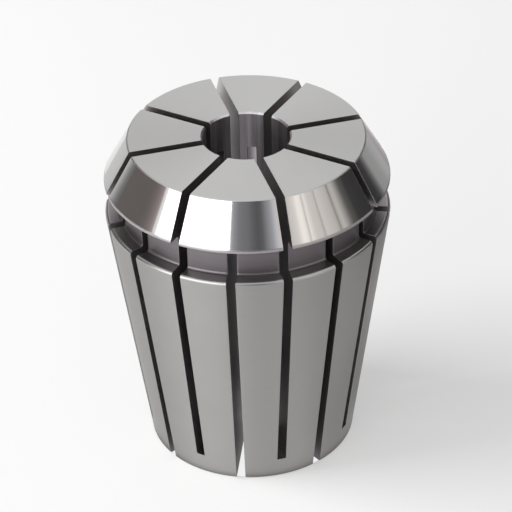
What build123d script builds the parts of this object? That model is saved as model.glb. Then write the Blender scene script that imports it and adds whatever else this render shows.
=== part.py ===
from build123d import *
import os
from math import radians, tan

# A slotted spring collet, turned from one bar of spring steel, sawn, hardened and ground.
# The origin is the centre of the small rear face. +Z runs along the bore, towards the nose face.
# Lengths are in millimetres and angles in degrees.

# The outline, as it is turned
body_diameter = 33.0  # across the long taper where it starts, under the groove
overall_length = 40.0
head_relief = 0.1  # how much nearer the axis the head's rim stands than the start of the taper
head_length = 5.2  # from the nose face down to the groove
head_land = 0.3  # the short straight rim under the nose cone
nose_half_angle = 30.0  # the cone that the clamping nut presses on
groove_width = 3.9  # the groove that the nut's ring grips to pull the collet out
groove_depth = 1.8  # below the start of the taper
taper_half_angle = 8.0  # the cone that seats in the tool holder
bore_diameter = 10.0  # the size of shank that it grips

# The saw cuts. Half of them open at the nose and half at the rear, in turn.
slots_each_way = 8
slot_width = 1.03
rear_web = 1.85  # metal left at the bore between a front slot and the rear face
rear_slot_overrun = 0.55  # how far past the groove, at the bore, a rear slot runs into the head
slot_end_slope = 6.5  # both kinds of slot end deeper at the bore than at the outside

# The broken edges and the corners left by the tool's tip
nose_rim_radius = 0.25
bore_mouth_chamfer = 0.2
cone_foot_radius = 0.6
head_edge_radius = 0.1
groove_corner_radius = 0.3
shoulder_edge_radius = 0.4
rear_rim_radius = 0.25

# How far a cutter passes beyond the metal
saw_clearance = 1.0

# What follows from those sizes
body_radius = body_diameter / 2
head_radius = body_radius - head_relief
bore_radius = bore_diameter / 2
groove_radius = body_radius - groove_depth
head_height = overall_length - head_length
cone_height = head_height + head_land
shoulder_height = head_height - groove_width
nose_radius = head_radius - (overall_length - cone_height) * tan(radians(nose_half_angle))
rear_radius = body_radius - shoulder_height * tan(radians(taper_half_angle))

end_rise = tan(radians(slot_end_slope))
saw_reach = body_radius + saw_clearance
front_slot_floor = rear_web - bore_radius * end_rise
rear_slot_roof = head_height + rear_slot_overrun + bore_radius * end_rise
half_pitch = 180 / slots_each_way

# The cut that opens at the nose: a thin blade on one side of the axis
with BuildPart() as front_saw:
    with BuildSketch(Plane.XZ):
        with BuildLine():
            Polyline(
                (0, front_slot_floor),
                (saw_reach, front_slot_floor + saw_reach * end_rise),
                (saw_reach, overall_length + saw_clearance),
                (0, overall_length + saw_clearance),
                close=True,
            )
        make_face()
    extrude(amount=slot_width / 2, both=True)

# The cut that opens at the rear face
with BuildPart() as rear_saw:
    with BuildSketch(Plane.XZ):
        with BuildLine():
            Polyline(
                (0, rear_slot_roof),
                (saw_reach, rear_slot_roof - saw_reach * end_rise),
                (saw_reach, -saw_clearance),
                (0, -saw_clearance),
                close=True,
            )
        make_face()
    extrude(amount=slot_width / 2, both=True)

with BuildPart() as collet:
    # Half the section, from the rear face up the taper, round the groove and over the nose
    with BuildSketch(Plane.XZ):
        with BuildLine():
            Polyline(
                (bore_radius, 0),
                (rear_radius, 0),
                (body_radius, shoulder_height),
                (groove_radius, shoulder_height),
                (groove_radius, head_height),
                (head_radius, head_height),
                (head_radius, cone_height),
                (nose_radius, overall_length),
                (bore_radius, overall_length),
                close=True,
            )
        make_face()
    revolve(axis=Axis.Z)

    # The turned edges are broken before the slots are sawn
    rings = collet.edges().filter_by(GeomType.CIRCLE).group_by(Axis.Z)
    rear_rings, shoulder_rings, head_rings, cone_rings, nose_rings = [
        level.sort_by(SortBy.RADIUS) for level in rings
    ]
    fillet(nose_rings[-1], radius=nose_rim_radius)
    fillet(cone_rings, radius=cone_foot_radius)
    fillet(head_rings[-1], radius=head_edge_radius)
    fillet([head_rings[0], shoulder_rings[0]], radius=groove_corner_radius)
    fillet(shoulder_rings[-1], radius=shoulder_edge_radius)
    fillet(rear_rings[-1], radius=rear_rim_radius)
    chamfer([nose_rings[0], rear_rings[0]], length=bore_mouth_chamfer)

    with PolarLocations(0, slots_each_way):
        add(front_saw.part, mode=Mode.SUBTRACT)
    with PolarLocations(0, slots_each_way, start_angle=half_pitch):
        add(rear_saw.part, mode=Mode.SUBTRACT)

collet.part.label = "collet"

os.makedirs("parts", exist_ok=True)
export_step(collet.part, "parts/collet.step")
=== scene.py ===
from math import cos, hypot, pi, radians, sin, tan

import bmesh
import bpy
from mathutils import Matrix, Vector


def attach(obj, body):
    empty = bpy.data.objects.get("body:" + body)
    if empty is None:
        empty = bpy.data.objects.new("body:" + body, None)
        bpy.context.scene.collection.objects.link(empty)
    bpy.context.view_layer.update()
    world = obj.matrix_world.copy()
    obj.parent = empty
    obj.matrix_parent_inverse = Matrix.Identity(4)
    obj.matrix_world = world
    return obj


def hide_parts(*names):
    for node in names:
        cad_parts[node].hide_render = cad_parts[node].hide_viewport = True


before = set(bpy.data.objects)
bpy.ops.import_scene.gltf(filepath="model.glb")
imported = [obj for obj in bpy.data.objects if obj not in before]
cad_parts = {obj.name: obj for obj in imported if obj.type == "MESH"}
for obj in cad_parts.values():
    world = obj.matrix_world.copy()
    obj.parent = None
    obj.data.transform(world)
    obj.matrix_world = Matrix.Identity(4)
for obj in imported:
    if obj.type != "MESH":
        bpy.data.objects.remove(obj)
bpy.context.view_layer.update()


# ---------------------------------------------------------------------------------------------
# The bar. The collet is turned from one bar of spring steel: the outline below goes up the long
# taper, round the extraction groove, over the nose cone, across the face and back down the bore.

MM = 0.001  # the scene is in metres
length = 40.0 * MM
body_radius = 16.5 * MM
head_radius = 16.4 * MM
groove_radius = 14.7 * MM
bore_radius = 5.0 * MM
shoulder_height = 30.9 * MM
head_height = 34.8 * MM
cone_foot_height = 35.1 * MM
taper_half_angle = 8
nose_half_angle = 30
rear_radius = body_radius - shoulder_height * tan(radians(taper_half_angle))
nose_radius = head_radius - (length - cone_foot_height) * tan(radians(nose_half_angle))
facets_round = 384
weld = 0.01 * MM

outline = [
    (rear_radius, 0),
    (body_radius, shoulder_height),
    (groove_radius, shoulder_height),
    (groove_radius, head_height),
    (head_radius, head_height),
    (head_radius, cone_foot_height),
    (nose_radius, length),
    (bore_radius, length),
    (bore_radius, 0),
]

bpy.ops.object.select_all(action="DESELECT")
bpy.ops.mesh.primitive_circle_add(vertices=facets_round, radius=rear_radius, fill_type="NOTHING")
collet = bpy.context.object
collet.name = "collet_body"
bpy.ops.object.mode_set(mode="EDIT")
for (radius, height), (next_radius, next_height) in zip(outline, outline[1:] + outline[:1]):
    bpy.ops.mesh.extrude_edges_move(TRANSFORM_OT_translate={"value": (0, 0, next_height - height)})
    growth = next_radius / radius
    bpy.ops.transform.resize(value=(growth, growth, 1), center_override=(0, 0, 0))
bpy.ops.mesh.select_all(action="SELECT")
bpy.ops.mesh.remove_doubles(threshold=weld)
bpy.ops.mesh.normals_make_consistent(inside=False)


# ---------------------------------------------------------------------------------------------
# The rims and corners. The outer rims are broken with a small radius, the groove's corners keep
# the radius of the turning tool's tip, and each mouth of the bore has a small chamfer.

near = 0.002 * MM  # places that agree within this are one place
nose_rim_radius = 0.25 * MM
cone_foot_radius = 0.6 * MM
head_edge_radius = 0.1 * MM
groove_corner_radius = 0.3 * MM
shoulder_edge_radius = 0.4 * MM
rear_rim_radius = 0.25 * MM
bore_chamfer = 0.2 * MM


def select_ring(piece, radius, height):
    """Selects the ring of edges that stands at this radius and height."""
    bpy.ops.mesh.select_mode(type="EDGE")
    bpy.ops.mesh.select_all(action="DESELECT")
    shape = bmesh.from_edit_mesh(piece.data)
    for edge in shape.edges:
        edge.select = all(
            abs(hypot(point.co.x, point.co.y) - radius) < near and abs(point.co.z - height) < near
            for point in edge.verts
        )
    bmesh.update_edit_mesh(piece.data)


rims = [  # radius and height of the ring, radius of the rounding, turn in degrees, steps
    (nose_radius, length, nose_rim_radius, 90 - nose_half_angle, 5),
    (head_radius, cone_foot_height, cone_foot_radius, nose_half_angle, 6),
    (head_radius, head_height, head_edge_radius, 90, 3),
    (groove_radius, head_height, groove_corner_radius, 90, 6),
    (groove_radius, shoulder_height, groove_corner_radius, 90, 6),
    (body_radius, shoulder_height, shoulder_edge_radius, 90 + taper_half_angle, 8),
    (rear_radius, 0, rear_rim_radius, 90 - taper_half_angle, 5),
]
for radius, height, rounding, turn, steps in rims:
    select_ring(collet, radius, height)
    set_back = rounding * tan(radians(turn / 2))
    bpy.ops.mesh.bevel(offset_type="OFFSET", offset=set_back, segments=steps, profile=0.5, affect="EDGES")

for height in (length, 0):
    select_ring(collet, bore_radius, height)
    bpy.ops.mesh.bevel(offset_type="OFFSET", offset=bore_chamfer, segments=1, affect="EDGES")
bpy.ops.object.mode_set(mode="OBJECT")


# ---------------------------------------------------------------------------------------------
# The taper. It is ground between centres and seats in the nut's holder, so it is a fine satin:
# the grinding wheel leaves very fine lines round the axis and a soft, even sheen.

class Value:
    """A socket among a finish's nodes. Sums and products of values add their own Math nodes."""

    def __init__(self, tree, socket):
        self.tree = tree
        self.socket = socket

    def node(self, kind, settings, sockets, output=0):
        """Adds a node: first its settings, then the values or links of its sockets."""
        made = self.tree.nodes.new(kind)
        for name, setting in settings.items():
            if name == "stops":
                for number, (stop, tone) in enumerate(setting):
                    if number > 1:
                        made.color_ramp.elements.new(stop)
                    made.color_ramp.elements[number].position = stop
                    made.color_ramp.elements[number].color = (tone, tone, tone, 1)
            else:
                setattr(made, name, setting)
        for name, value in sockets.items():
            if isinstance(value, Value):
                self.tree.links.new(value.socket, made.inputs[name])
            else:
                made.inputs[name].default_value = value
        return Value(self.tree, made.outputs[output])

    def part(self, output):
        """Another output of the same node."""
        return Value(self.tree, self.socket.node.outputs[output])

    def maths(self, operation, *others):
        values = dict(enumerate((self, *others)))
        return self.node("ShaderNodeMath", {"operation": operation}, values)

    def __add__(self, other):
        return self.maths("ADD", other)

    __radd__ = __add__

    def __mul__(self, other):
        return self.maths("MULTIPLY", other)

    __rmul__ = __mul__

    def __sub__(self, other):
        return self.maths("SUBTRACT", other)

    def __rsub__(self, other):
        return (self * -1) + other


def new_finish(name, lay):
    """A steel finish with its shader, and the place of a point on the collet in millimetres.

    The lay is how far the shine is drawn out across the lines.
    """
    finish = bpy.data.materials.new(name)
    finish.use_nodes = True
    shader = finish.node_tree.nodes["Principled BSDF"]
    shader.inputs["Metallic"].default_value = 1.0
    shader.inputs["Anisotropic"].default_value = lay
    shader.inputs["Anisotropic Rotation"].default_value = 0.25
    start = Value(finish.node_tree, None)
    place = start.node("ShaderNodeTexCoord", {}, {}, "Object")
    place = start.node("ShaderNodeVectorMath", {"operation": "SCALE"}, {0: place, "Scale": 1 / MM})
    return finish, shader, place


def tool_lines(place, up, level):
    """Noise with so many changes in a millimetre up the axis and level with it.

    More up than level draws it out round the axis, as a turning tool or a wheel leaves it, and
    more level than up draws it out along the axis.
    """
    laid = place.node("ShaderNodeMapping", {}, {"Vector": place, "Scale": (level, level, up)})
    return place.node("ShaderNodeTexNoise", {}, {"Vector": laid, "Scale": 1.0, "Detail": 3.0})


def join(shader, place, lines, dark, light, smooth, rough, depth):
    """Joins a finish's tone, gloss and lines to its shader; depth is in millimetres."""
    cloud = place.node("ShaderNodeTexNoise", {}, {"Vector": place, "Scale": 0.22, "Detail": 2.0})
    spread = cloud * 0.5 + lines * 0.5
    tone = place.node("ShaderNodeMix", {"data_type": "RGBA"}, {0: spread, 6: dark, 7: light}, 2)
    place.tree.links.new(tone.socket, shader.inputs["Base Color"])
    place.tree.links.new((spread * (rough - smooth) + smooth).socket, shader.inputs["Roughness"])
    raised = place.node("ShaderNodeBump", {}, {"Strength": 1.0, "Distance": depth * MM, "Height": lines})
    place.tree.links.new(raised.socket, shader.inputs["Normal"])


def dress(piece, finish, belongs):
    """Gives the finish to the faces whose middle, as radius and height, belongs to the surface."""
    if finish.name not in piece.data.materials:
        piece.data.materials.append(finish)
    number = piece.data.materials.find(finish.name)
    for face in piece.data.polygons:
        if belongs(hypot(face.center.x, face.center.y), face.center.z):
            face.material_index = number


ground_taper, shader, place = new_finish("ground_taper", lay=0.8)
join(
    shader, place, tool_lines(place, up=9.0, level=0.10),
    dark=(0.355, 0.347, 0.337, 1), light=(0.405, 0.397, 0.387, 1), smooth=0.36, rough=0.44, depth=0.0016,
)
dress(collet, ground_taper, lambda radius, height: True)


# ---------------------------------------------------------------------------------------------
# The groove, its lower ledge and the rim above it. The nut's ring hooks into the groove to pull the
# collet out. The groove and the ledge are turned, not ground, so they are a little darker and the
# tool's feed shows as coarser lines. The groove is darker still: painted shade of the recess under
# the rim. The rim and the ledge's outer edge are ground, and brighter.

margin = 0.05 * MM  # how far past a surface's end the middle of one of its faces may lie
bright_edge = 0.5 * MM  # how wide the ledge's ground edge is
ledge_inner = groove_radius + groove_corner_radius
edge_inner = body_radius - bright_edge
edge_low = shoulder_height - shoulder_edge_radius


def on_ledge(radius, height):
    return -margin < height - shoulder_height < 2 * margin and radius > ledge_inner


# Painted shade: the groove's tone is set darker than the ledge's, for the shade in the recess under the
# rim.
turned_groove_painted_shade, shader, place = new_finish("turned_groove_painted_shade", lay=0.6)
join(
    shader, place, tool_lines(place, up=7.0, level=0.06),
    dark=(0.155, 0.143, 0.150, 1), light=(0.24, 0.222, 0.233, 1), smooth=0.32, rough=0.46, depth=0.004,
)
dress(collet, turned_groove_painted_shade, lambda radius, height: height > shoulder_height - margin)

turned_ledge, shader, place = new_finish("turned_ledge", lay=0.6)
join(
    shader, place, tool_lines(place, up=7.0, level=0.06),
    dark=(0.27, 0.25, 0.253, 1), light=(0.36, 0.335, 0.338, 1), smooth=0.28, rough=0.38, depth=0.003,
)
dress(collet, turned_ledge, on_ledge)

ground_rim, shader, place = new_finish("ground_rim", lay=0.6)
join(
    shader, place, tool_lines(place, up=9.0, level=0.10),
    dark=(0.38, 0.372, 0.370, 1), light=(0.46, 0.452, 0.450, 1), smooth=0.24, rough=0.32, depth=0.0006,
)
dress(collet, ground_rim, lambda radius, height: height > head_height + margin)
dress(collet, ground_rim, lambda radius, height: edge_low < height < head_height and radius > edge_inner)


# ---------------------------------------------------------------------------------------------
# The nose cone. The nut presses on it, so it is ground and then polished bright: it mirrors all
# that stands round it, a little softened by the last fine lines of the polishing cloth.

polish_start = cone_foot_height + 0.12 * MM  # near the upper end of the rounding at the cone's foot

polished_nose, shader, place = new_finish("polished_nose", lay=0.5)
join(
    shader, place, tool_lines(place, up=12.0, level=0.15),
    dark=(0.63, 0.625, 0.62, 1), light=(0.69, 0.685, 0.68, 1), smooth=0.05, rough=0.10, depth=0.0004,
)
dress(collet, polished_nose, lambda radius, height: height > polish_start)


# ---------------------------------------------------------------------------------------------
# The two flat faces, at the nose and at the rear. Both are face ground to a grey satin, with very
# fine rings about the axis.

rings_across = 9.0  # changes in a millimetre away from the axis
rings_along = 0.12  # changes in a millimetre round the axis
nose_grinding = 0.2 * MM  # how far down the nose's rim the grinding reaches
rear_grinding = 0.01 * MM  # how far up the rear rim it reaches

ground_face, shader, place = new_finish("ground_face", lay=0.6)
east = place.node("ShaderNodeSeparateXYZ", {}, {0: place})
north = east.part(1)
from_axis = (east * east + north * north).maths("SQRT")
ringed = {0: from_axis * rings_across, 1: east * rings_along, 2: north * rings_along}
ringed = place.node("ShaderNodeCombineXYZ", {}, ringed)
join(
    shader, place, place.node("ShaderNodeTexNoise", {}, {"Vector": ringed, "Scale": 1.0, "Detail": 3.0}),
    dark=(0.51, 0.507, 0.502, 1), light=(0.57, 0.567, 0.562, 1), smooth=0.38, rough=0.46, depth=0.0018,
)
dress(collet, ground_face, lambda radius, height: height > length - nose_grinding or height < rear_grinding)


# ---------------------------------------------------------------------------------------------
# The bore. It grips the tool's shank, so it is honed to size. It is smoother than the turned
# surfaces, and the shanks pushed in and pulled out leave fine streaks along it. Its tone is set
# lighter than the outer steel's: painted light that lifts the shade deep in the bore.

streak_contrast = 3.0
bore_reach = bore_radius + bore_chamfer * 0.9  # takes in the chamfer at each mouth

# Painted light: the light tone lifts the shaded inside of the bore.
honed_bore_painted_light, shader, place = new_finish("honed_bore_painted_light", lay=0.4)
streaks = (tool_lines(place, up=0.05, level=2.2) - 0.5) * streak_contrast + 0.5
join(
    shader, place, streaks.maths("MAXIMUM", 0.0).maths("MINIMUM", 1.0),
    dark=(0.47, 0.446, 0.463, 1), light=(0.84, 0.795, 0.83, 1), smooth=0.27, rough=0.37, depth=0.001,
)
dress(collet, honed_bore_painted_light, lambda radius, height: radius < bore_reach)


# ---------------------------------------------------------------------------------------------
# The slots. Sixteen cuts of a thin slitting saw, eight from the nose and eight from the rear in
# turn. Each stops short of the far end, and its end slopes so that it is deeper at the bore.

# Painted light: the walls' tone is set lighter than the taper's, to lift the shade inside the narrow slots.
sawn_wall_painted_light, shader, place = new_finish("sawn_wall_painted_light", lay=0.0)
join(
    shader, place, tool_lines(place, up=5.0, level=0.5),
    dark=(0.42, 0.402, 0.405, 1), light=(0.54, 0.518, 0.52, 1), smooth=0.28, rough=0.38, depth=0.002,
)

slots_each_way = 8
slot_width = 1.03 * MM
slot_end_slope = tan(radians(6.5))
front_slot_floor = 1.85 * MM  # at the bore
rear_slot_roof = 35.35 * MM  # at the bore
saw_inner = 3.5 * MM
saw_outer = 17.5 * MM
saw_overrun = 1.0 * MM
slot_pitch = pi / slots_each_way


def saw_cuts(open_height, floor_height, rise, turn):
    """Eight blades round the axis, from the open end of the slots to their sloping floor."""
    inner_floor = floor_height - (bore_radius - saw_inner) * rise
    bpy.ops.object.select_all(action="DESELECT")
    bpy.ops.mesh.primitive_cube_add(
        size=1,
        location=((saw_inner + saw_outer) / 2, 0, (open_height + inner_floor) / 2),
        scale=(saw_outer - saw_inner, slot_width, abs(open_height - inner_floor)),
    )
    blade = bpy.context.object
    blade.data.materials.append(sawn_wall_painted_light)
    bpy.ops.object.transform_apply(location=True, rotation=False, scale=True)
    bpy.ops.object.mode_set(mode="EDIT")
    select_ring(blade, hypot(saw_outer, slot_width / 2), inner_floor)
    bpy.ops.transform.translate(value=(0, 0, (saw_outer - saw_inner) * rise))
    bpy.ops.mesh.select_all(action="SELECT")
    bpy.ops.mesh.normals_make_consistent(inside=False)
    others = slots_each_way - 1
    bpy.ops.mesh.spin(
        steps=others, angle=2 * slot_pitch * others, dupli=True, center=(0, 0, 0), axis=(0, 0, 1)
    )
    bpy.ops.object.mode_set(mode="OBJECT")
    blade.rotation_euler.z = turn
    bpy.ops.object.transform_apply(location=False, rotation=True, scale=False)
    return blade


front_cuts = saw_cuts(length + saw_overrun, front_slot_floor, rise=slot_end_slope, turn=0)
rear_cuts = saw_cuts(-saw_overrun, rear_slot_roof, rise=-slot_end_slope, turn=slot_pitch)
for cuts in (front_cuts, rear_cuts):
    bpy.ops.object.select_all(action="DESELECT")
    bpy.context.view_layer.objects.active = collet
    saw = collet.modifiers.new("saw", "BOOLEAN")
    saw.operation = "DIFFERENCE"
    saw.solver = "EXACT"
    saw.object = cuts
    saw.material_mode = "TRANSFER"
    bpy.ops.object.modifier_apply(modifier=saw.name)
    bpy.data.objects.remove(cuts)


# ---------------------------------------------------------------------------------------------
# The deburring. After the saw the flat faces are stoned, and the sharp edge that each slot leaves
# on the outside, on the face and in the bore is taken off with a very small bevel.

burr = 0.05 * MM
flat_turn = radians(0.5)  # faces that turn less than this are one flat face
smooth_turn = radians(32)  # edges that turn less than this are shaded smooth
sharp_turn = radians(50)  # edges that turn more than this are deburred
level_normal = 0.9999  # a level face's normal stands at least this upright
wall_normal = 0.001  # and a wall's at most this


def distance_from_slot_plane(point):
    """How far a point lies from the middle plane of the nearest slot, in metres."""
    nearest = round(Vector((point.x, point.y)).angle_signed(Vector((1, 0)), 0) / slot_pitch) * slot_pitch
    return abs(point.y * cos(nearest) - point.x * sin(nearest))


def is_slot_wall(face):
    off = distance_from_slot_plane(face.calc_center_median())
    return abs(face.normal.z) < wall_normal and abs(off - slot_width / 2) < near


bpy.context.view_layer.objects.active = collet
bpy.ops.object.mode_set(mode="EDIT")
bpy.ops.mesh.select_mode(type="FACE")
bpy.ops.mesh.select_all(action="DESELECT")
shape = bmesh.from_edit_mesh(collet.data)
for face in shape.faces:
    face.select = abs(face.normal.z) > level_normal or is_slot_wall(face)
bmesh.update_edit_mesh(collet.data)
bpy.ops.mesh.dissolve_limited(angle_limit=flat_turn)
bpy.ops.mesh.select_mode(type="EDGE")
bpy.ops.mesh.select_all(action="DESELECT")
shape = bmesh.from_edit_mesh(collet.data)
for edge in shape.edges:
    edge.select = edge.is_convex and edge.calc_face_angle() > sharp_turn
bmesh.update_edit_mesh(collet.data)
bpy.ops.mesh.bevel(offset_type="OFFSET", offset=burr, segments=2, profile=0.5, affect="EDGES")
bpy.ops.object.mode_set(mode="OBJECT")
bpy.ops.object.select_all(action="DESELECT")
collet.select_set(True)
bpy.ops.object.shade_smooth_by_angle(angle=smooth_turn)
even = collet.modifiers.new("even", "WEIGHTED_NORMAL")
even.keep_sharp = True
bpy.ops.object.modifier_apply(modifier=even.name)
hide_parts("collet")
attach(collet, "root")


# ---------------------------------------------------------------------------------------------
# The floor. A plain sheet of white card under the collet, which keeps its shadow. Under the steel
# it glows lighter, painted light where the collet's shade falls, so that it shows white through the
# feet of the slots; under the bore it glows less: painted shade.

floor_size = 6
floor_gap = 0.02 * MM  # between the card and the rear face
white_share = 0.4  # of plain white among the card's own light and shadow
# more of the plain white under the steel is painted light, and less under the bore is painted shade
painted_light_share_under_steel = 0.85
painted_shade_share_under_bore = 0.25


def seen_rays(tree):
    """One for rays that see the backdrop, straight or in steel, and nought for those that light."""
    path = Value(tree, None).node("ShaderNodeLightPath", {}, {}, "Is Camera Ray")
    return (path + path.part("Is Glossy Ray") + path.part("Is Transmission Ray")).maths("MINIMUM", 1.0)


bpy.ops.object.select_all(action="DESELECT")
bpy.ops.mesh.primitive_plane_add(size=floor_size, location=(0, 0, -floor_gap))
floor = bpy.context.object
floor.name = "floor"
white_card = bpy.data.materials.new("white_card")
white_card.use_nodes = True
shader = white_card.node_tree.nodes["Principled BSDF"]
shader.inputs["Base Color"].default_value = (0.94, 0.94, 0.94, 1)
shader.inputs["Roughness"].default_value = 0.9
seen = seen_rays(white_card.node_tree)
place = seen.node("ShaderNodeTexCoord", {}, {}, "Object")
from_axis = seen.node("ShaderNodeVectorMath", {"operation": "LENGTH"}, {0: place}, "Value")
# Painted light under the steel and painted shade under the bore.
painted_shade_under_bore = from_axis.maths("LESS_THAN", bore_radius)
painted_light_under_steel = from_axis.maths("LESS_THAN", rear_radius - rear_rim_radius) - painted_shade_under_bore
share = painted_light_under_steel * (painted_light_share_under_steel - white_share) + white_share
share = share - painted_shade_under_bore * (white_share - painted_shade_share_under_bore)
plain_white = seen.node("ShaderNodeEmission", {}, {"Color": (1, 1, 1, 1), "Strength": 1.0})
diffuse_card = Value(white_card.node_tree, shader.outputs["BSDF"])
lit = seen.node("ShaderNodeMixShader", {}, {0: seen * share, 1: diffuse_card, 2: plain_white})
white_card.node_tree.links.new(lit.socket, white_card.node_tree.nodes["Material Output"].inputs["Surface"])
floor.data.materials.append(white_card)


# ---------------------------------------------------------------------------------------------
# The camera. It stands about 0.3 m away and looks down on the nose through a long lens, with a very
# slight roll.

camera_azimuth = radians(-15.34)
camera_elevation = radians(34.20)
camera_roll = radians(-1.26)
camera_distance = 303.9 * MM
aim_right = 0.817 * MM
aim_height = 23.41 * MM
focal_pixels = 2597.6
frame_pixels = 512

camera = bpy.data.objects.new("camera", bpy.data.cameras.new("camera"))
bpy.context.collection.objects.link(camera)
camera.data.sensor_width = 36
camera.data.lens = focal_pixels / frame_pixels * camera.data.sensor_width
camera.data.clip_start = 0.01
turn = Matrix.Rotation(camera_azimuth, 4, "Z") @ Matrix.Rotation(pi / 2 - camera_elevation, 4, "X")
sight = turn @ Vector((0, 0, 1))
aim = Vector((aim_right * cos(camera_azimuth), aim_right * sin(camera_azimuth), aim_height))
tilt = Matrix.Rotation(camera_roll, 4, "Z")
camera.matrix_world = Matrix.Translation(aim + sight * camera_distance) @ turn @ tilt
bpy.context.scene.camera = camera


# ---------------------------------------------------------------------------------------------
# The lights. Two softboxes stand on the left, a high one that makes the shadow and a low one that
# the nose mirrors, in a room of even white light.

lamp_aim_height = 0.03
room_light = 0.36


def bearing(side):
    """The direction that lies at this angle from the camera's side, to the right."""
    return camera_azimuth - pi / 2 + radians(side)


def softbox(name, side, height, away, wide, tall, radiance):
    """A lamp with a flat white front that faces the collet."""
    box = bpy.data.lights.new(name, "AREA")
    box.shape = "RECTANGLE"
    box.size = wide
    box.size_y = tall
    box.energy = radiance * pi * wide * tall
    lamp = bpy.data.objects.new(name, box)
    bpy.context.collection.objects.link(lamp)
    lamp.location = (away * cos(bearing(side)), away * sin(bearing(side)), height)
    facing = lamp.location - Vector((0, 0, lamp_aim_height))
    lamp.rotation_euler = facing.to_track_quat("Z", "Y").to_euler()
    lamp.visible_camera = False
    return lamp


softbox("low_softbox", side=-44.5, height=0.22, away=0.6, wide=0.65, tall=0.46, radiance=2.1)
high_softbox = softbox("high_softbox", side=-90, height=0.45, away=0.65, wide=0.5, tall=0.5, radiance=7.6)
high_softbox.visible_glossy = False  # the floor takes its light, and the steel mirrors the floor

world = bpy.data.worlds.new("studio")
bpy.context.scene.world = world
world.use_nodes = True
background = world.node_tree.nodes["Background"]
background.inputs["Color"].default_value = (1, 1, 1, 1)
strength = seen_rays(world.node_tree) * (1 - room_light) + room_light
world.node_tree.links.new(strength.socket, background.inputs["Strength"])


# ---------------------------------------------------------------------------------------------
# The painted reflections. Tall curved cards stand round the collet: grey at the left and beside
# the camera, creased white cloth and black at the right. Flat mats lie about its foot. Each is a
# glowing sheet, no lamp, with its tones painted on, and shows only in the bright steel, so that it
# reads as metal. The mats stand for the floor's light and shadow as the steel mirrors it, darker to
# the right and under the collet: painted shadow.

card_steps = 48
stray_scale = 150.0
card_foot = (0.7, 0)
card_head = (0.7, 0.62)
white = (1, 1, 1, 1)


def card(name, first, last, tones, tint=white, glow=1.0, wander=0.0, foot=card_foot, head=card_head):
    """A glowing card from one side to another, seen only in the steel: a painted reflection. Tones
    are given as (side, tone), from the left on.

    The foot and the head are each a distance from the axis and a height, and wander is how far
    the tones stray to either side, as a share of the card.
    """
    bpy.ops.object.select_all(action="DESELECT")
    bpy.ops.mesh.primitive_plane_add(size=1)
    sheet = bpy.context.object
    sheet.name = name
    bpy.ops.object.mode_set(mode="EDIT")
    bpy.ops.mesh.delete(type="ONLY_FACE")
    bpy.ops.mesh.select_mode(type="VERT")
    bpy.ops.mesh.select_all(action="SELECT")
    bpy.ops.mesh.merge(type="CENTER")
    aside = Vector((cos(bearing(first)), sin(bearing(first)), 0))
    low = aside * foot[0] + Vector((0, 0, foot[1]))
    high = aside * head[0] + Vector((0, 0, head[1]))
    bpy.ops.transform.translate(value=low)
    bpy.ops.mesh.extrude_vertices_move(TRANSFORM_OT_translate={"value": high - low})
    bpy.ops.mesh.select_all(action="SELECT")
    bpy.ops.mesh.spin(steps=card_steps, angle=radians(first - last), center=(0, 0, 0), axis=(0, 0, 1))
    bpy.ops.object.mode_set(mode="OBJECT")
    painted_reflection = bpy.data.materials.new(name)
    painted_reflection.use_nodes = True
    shader = painted_reflection.node_tree.nodes["Principled BSDF"]
    shader.inputs["Base Color"].default_value = (0, 0, 0, 1)
    shader.inputs["Emission Strength"].default_value = glow
    place = Value(painted_reflection.node_tree, None).node("ShaderNodeTexCoord", {}, {}, "Object")
    middle = bearing((first + last) / 2)
    place = place.node("ShaderNodeMapping", {}, {"Vector": place, "Rotation": (0, 0, -middle)})
    east = place.node("ShaderNodeSeparateXYZ", {}, {0: place})
    round_it = east.part(1).maths("ARCTAN2", east) * (1 / radians(last - first)) + 0.5
    stray = place.node("ShaderNodeTexNoise", {}, {"Vector": place, "Scale": stray_scale, "Detail": 2.0})
    round_it = round_it + (stray - 0.5) * wander
    stops = [((side - first) / (last - first), tone) for side, tone in tones]
    tone = place.node("ShaderNodeValToRGB", {"stops": stops}, {0: round_it})
    colour = place.node("ShaderNodeMix", {"data_type": "RGBA"}, {0: tone, 6: (0, 0, 0, 1), 7: tint}, 2)
    painted_reflection.node_tree.links.new(colour.socket, shader.inputs["Emission Color"])
    sheet.data.materials.append(painted_reflection)
    sheet.visible_camera = False
    sheet.visible_diffuse = False
    sheet.visible_shadow = False


# Painted reflections: glowing cards that show only in the steel.
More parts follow.
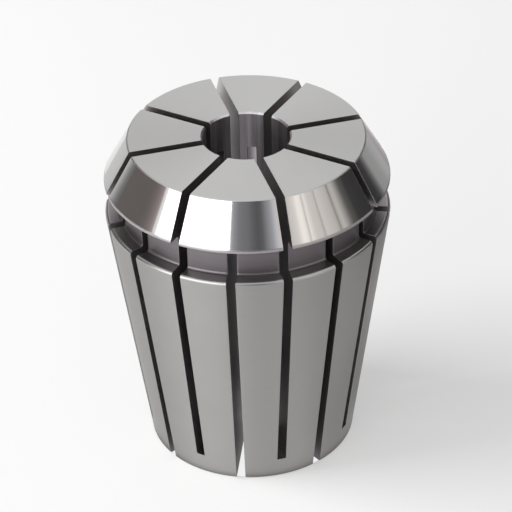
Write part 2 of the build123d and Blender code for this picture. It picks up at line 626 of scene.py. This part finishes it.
card(
    "left_card", first=-162, last=-76,
    tones=[(-162, 0.13), (-92, 0.145), (-88, 0.15), (-84, 0.19), (-80, 0.27), (-77, 0.4), (-76, 0.7)],
    tint=(1, 0.85, 0.82, 1),
)
card(
    "front_card", first=-16, last=24,
    tones=[
        (-16, 0.9), (-14.5, 0.55), (-12, 0.4), (-8, 0.26), (-4, 0.22), (0, 0.2), (4, 0.14), (8, 0.1),
        (11.6, 0.13), (15.5, 0.29), (19.4, 0.44), (21.4, 0.6), (24, 0.8),
    ],
    tint=(0.93, 0.93, 1, 1),
)
card(
    "right_cloth", first=24, last=90,
    tones=[  # with three creases, each a narrow dark line
        (24, 0.55), (33, 0.56), (37, 0.61), (40, 0.68), (43.5, 0.92), (45.5, 0.86),
        (47.8, 0.84), (48.5, 0.15), (49.2, 0.88), (51, 0.76), (53.5, 0.6),
        (59.5, 0.56), (60.2, 0.15), (60.9, 0.62), (66, 0.54), (70, 0.49),
        (72.8, 0.42), (73.6, 0.05), (74.4, 0.4), (77, 0.5), (79, 0.4), (82, 0.22), (85, 0.08), (90, 0.04),
    ],
    tint=(1, 0.95, 0.9, 1), glow=1.35, wander=0.08,
)
card("right_card", first=90, last=162, tones=[(90, 0.03), (100, 0.015), (162, 0.01)], tint=(1, 0.9, 1, 1))

back_foot = (120 * MM, 0)
back_head = (120 * MM, 50 * MM)
card(
    "right_back_card", first=108, last=168,
    tones=[
        (108, 0.01), (112, 0.02), (115, 0.07), (118, 0.18), (121, 0.34), (130, 0.36), (138, 0.44),
        (168, 0.46),
    ],
    foot=back_foot, head=back_head,
)
card(
    "left_back_card", first=-168, last=-110,
    tones=[(-168, 0.7), (-132, 0.7), (-125, 0.62), (-121, 0.6), (-118, 0.42), (-115, 0.26), (-110, 0.13)],
    foot=back_foot, head=back_head,
)

painted_shadow_height = 0.4 * MM
contact_shadow_height = -0.01 * MM  # between the floor and the rear face
# Painted shadow: a dark ring under the rear face, the contact shadow as the steel mirrors it.
card(
    "painted_contact_shadow", first=-180, last=180, tones=[(-180, 0.22), (180, 0.22)],
    foot=(1 * MM, contact_shadow_height), head=(rear_radius + 0.5 * MM, contact_shadow_height),
)
# Painted shadow: the floor's light and shade round the collet, darker to the right, as the steel mirrors
# it.
card(
    "near_painted_shadow", first=-12, last=178,
    tones=[
        (-12, 0.95), (4, 0.86), (16, 0.82), (35, 0.74), (54, 0.58), (81, 0.52), (100, 0.37), (115, 0.36),
        (139, 0.4), (155, 0.42), (178, 0.5),
    ],
    foot=(13.5 * MM, painted_shadow_height), head=(28 * MM, painted_shadow_height),
)
card(
    "middle_painted_shadow", first=12, last=178,
    tones=[
        (12, 0.95), (35, 0.86), (54, 0.74), (81, 0.77), (100, 0.68), (115, 0.58), (123, 0.6), (128, 0.68),
        (139, 0.55), (155, 0.42), (178, 0.5),
    ],
    foot=(28 * MM, painted_shadow_height), head=(50 * MM, painted_shadow_height),
)
card(
    "far_painted_shadow", first=-12, last=178,
    tones=[
        (-12, 0.93), (-4, 0.78), (4, 0.68), (16, 0.64), (24, 0.58), (48, 0.43), (72, 0.33), (96, 0.26),
        (139, 0.3), (155, 0.4), (165, 0.9), (178, 0.95),
    ],
    tint=(1, 0.93, 0.98, 1), foot=(50 * MM, painted_shadow_height), head=(120 * MM, painted_shadow_height),
)

bpy.context.scene.view_settings.view_transform = "Standard"
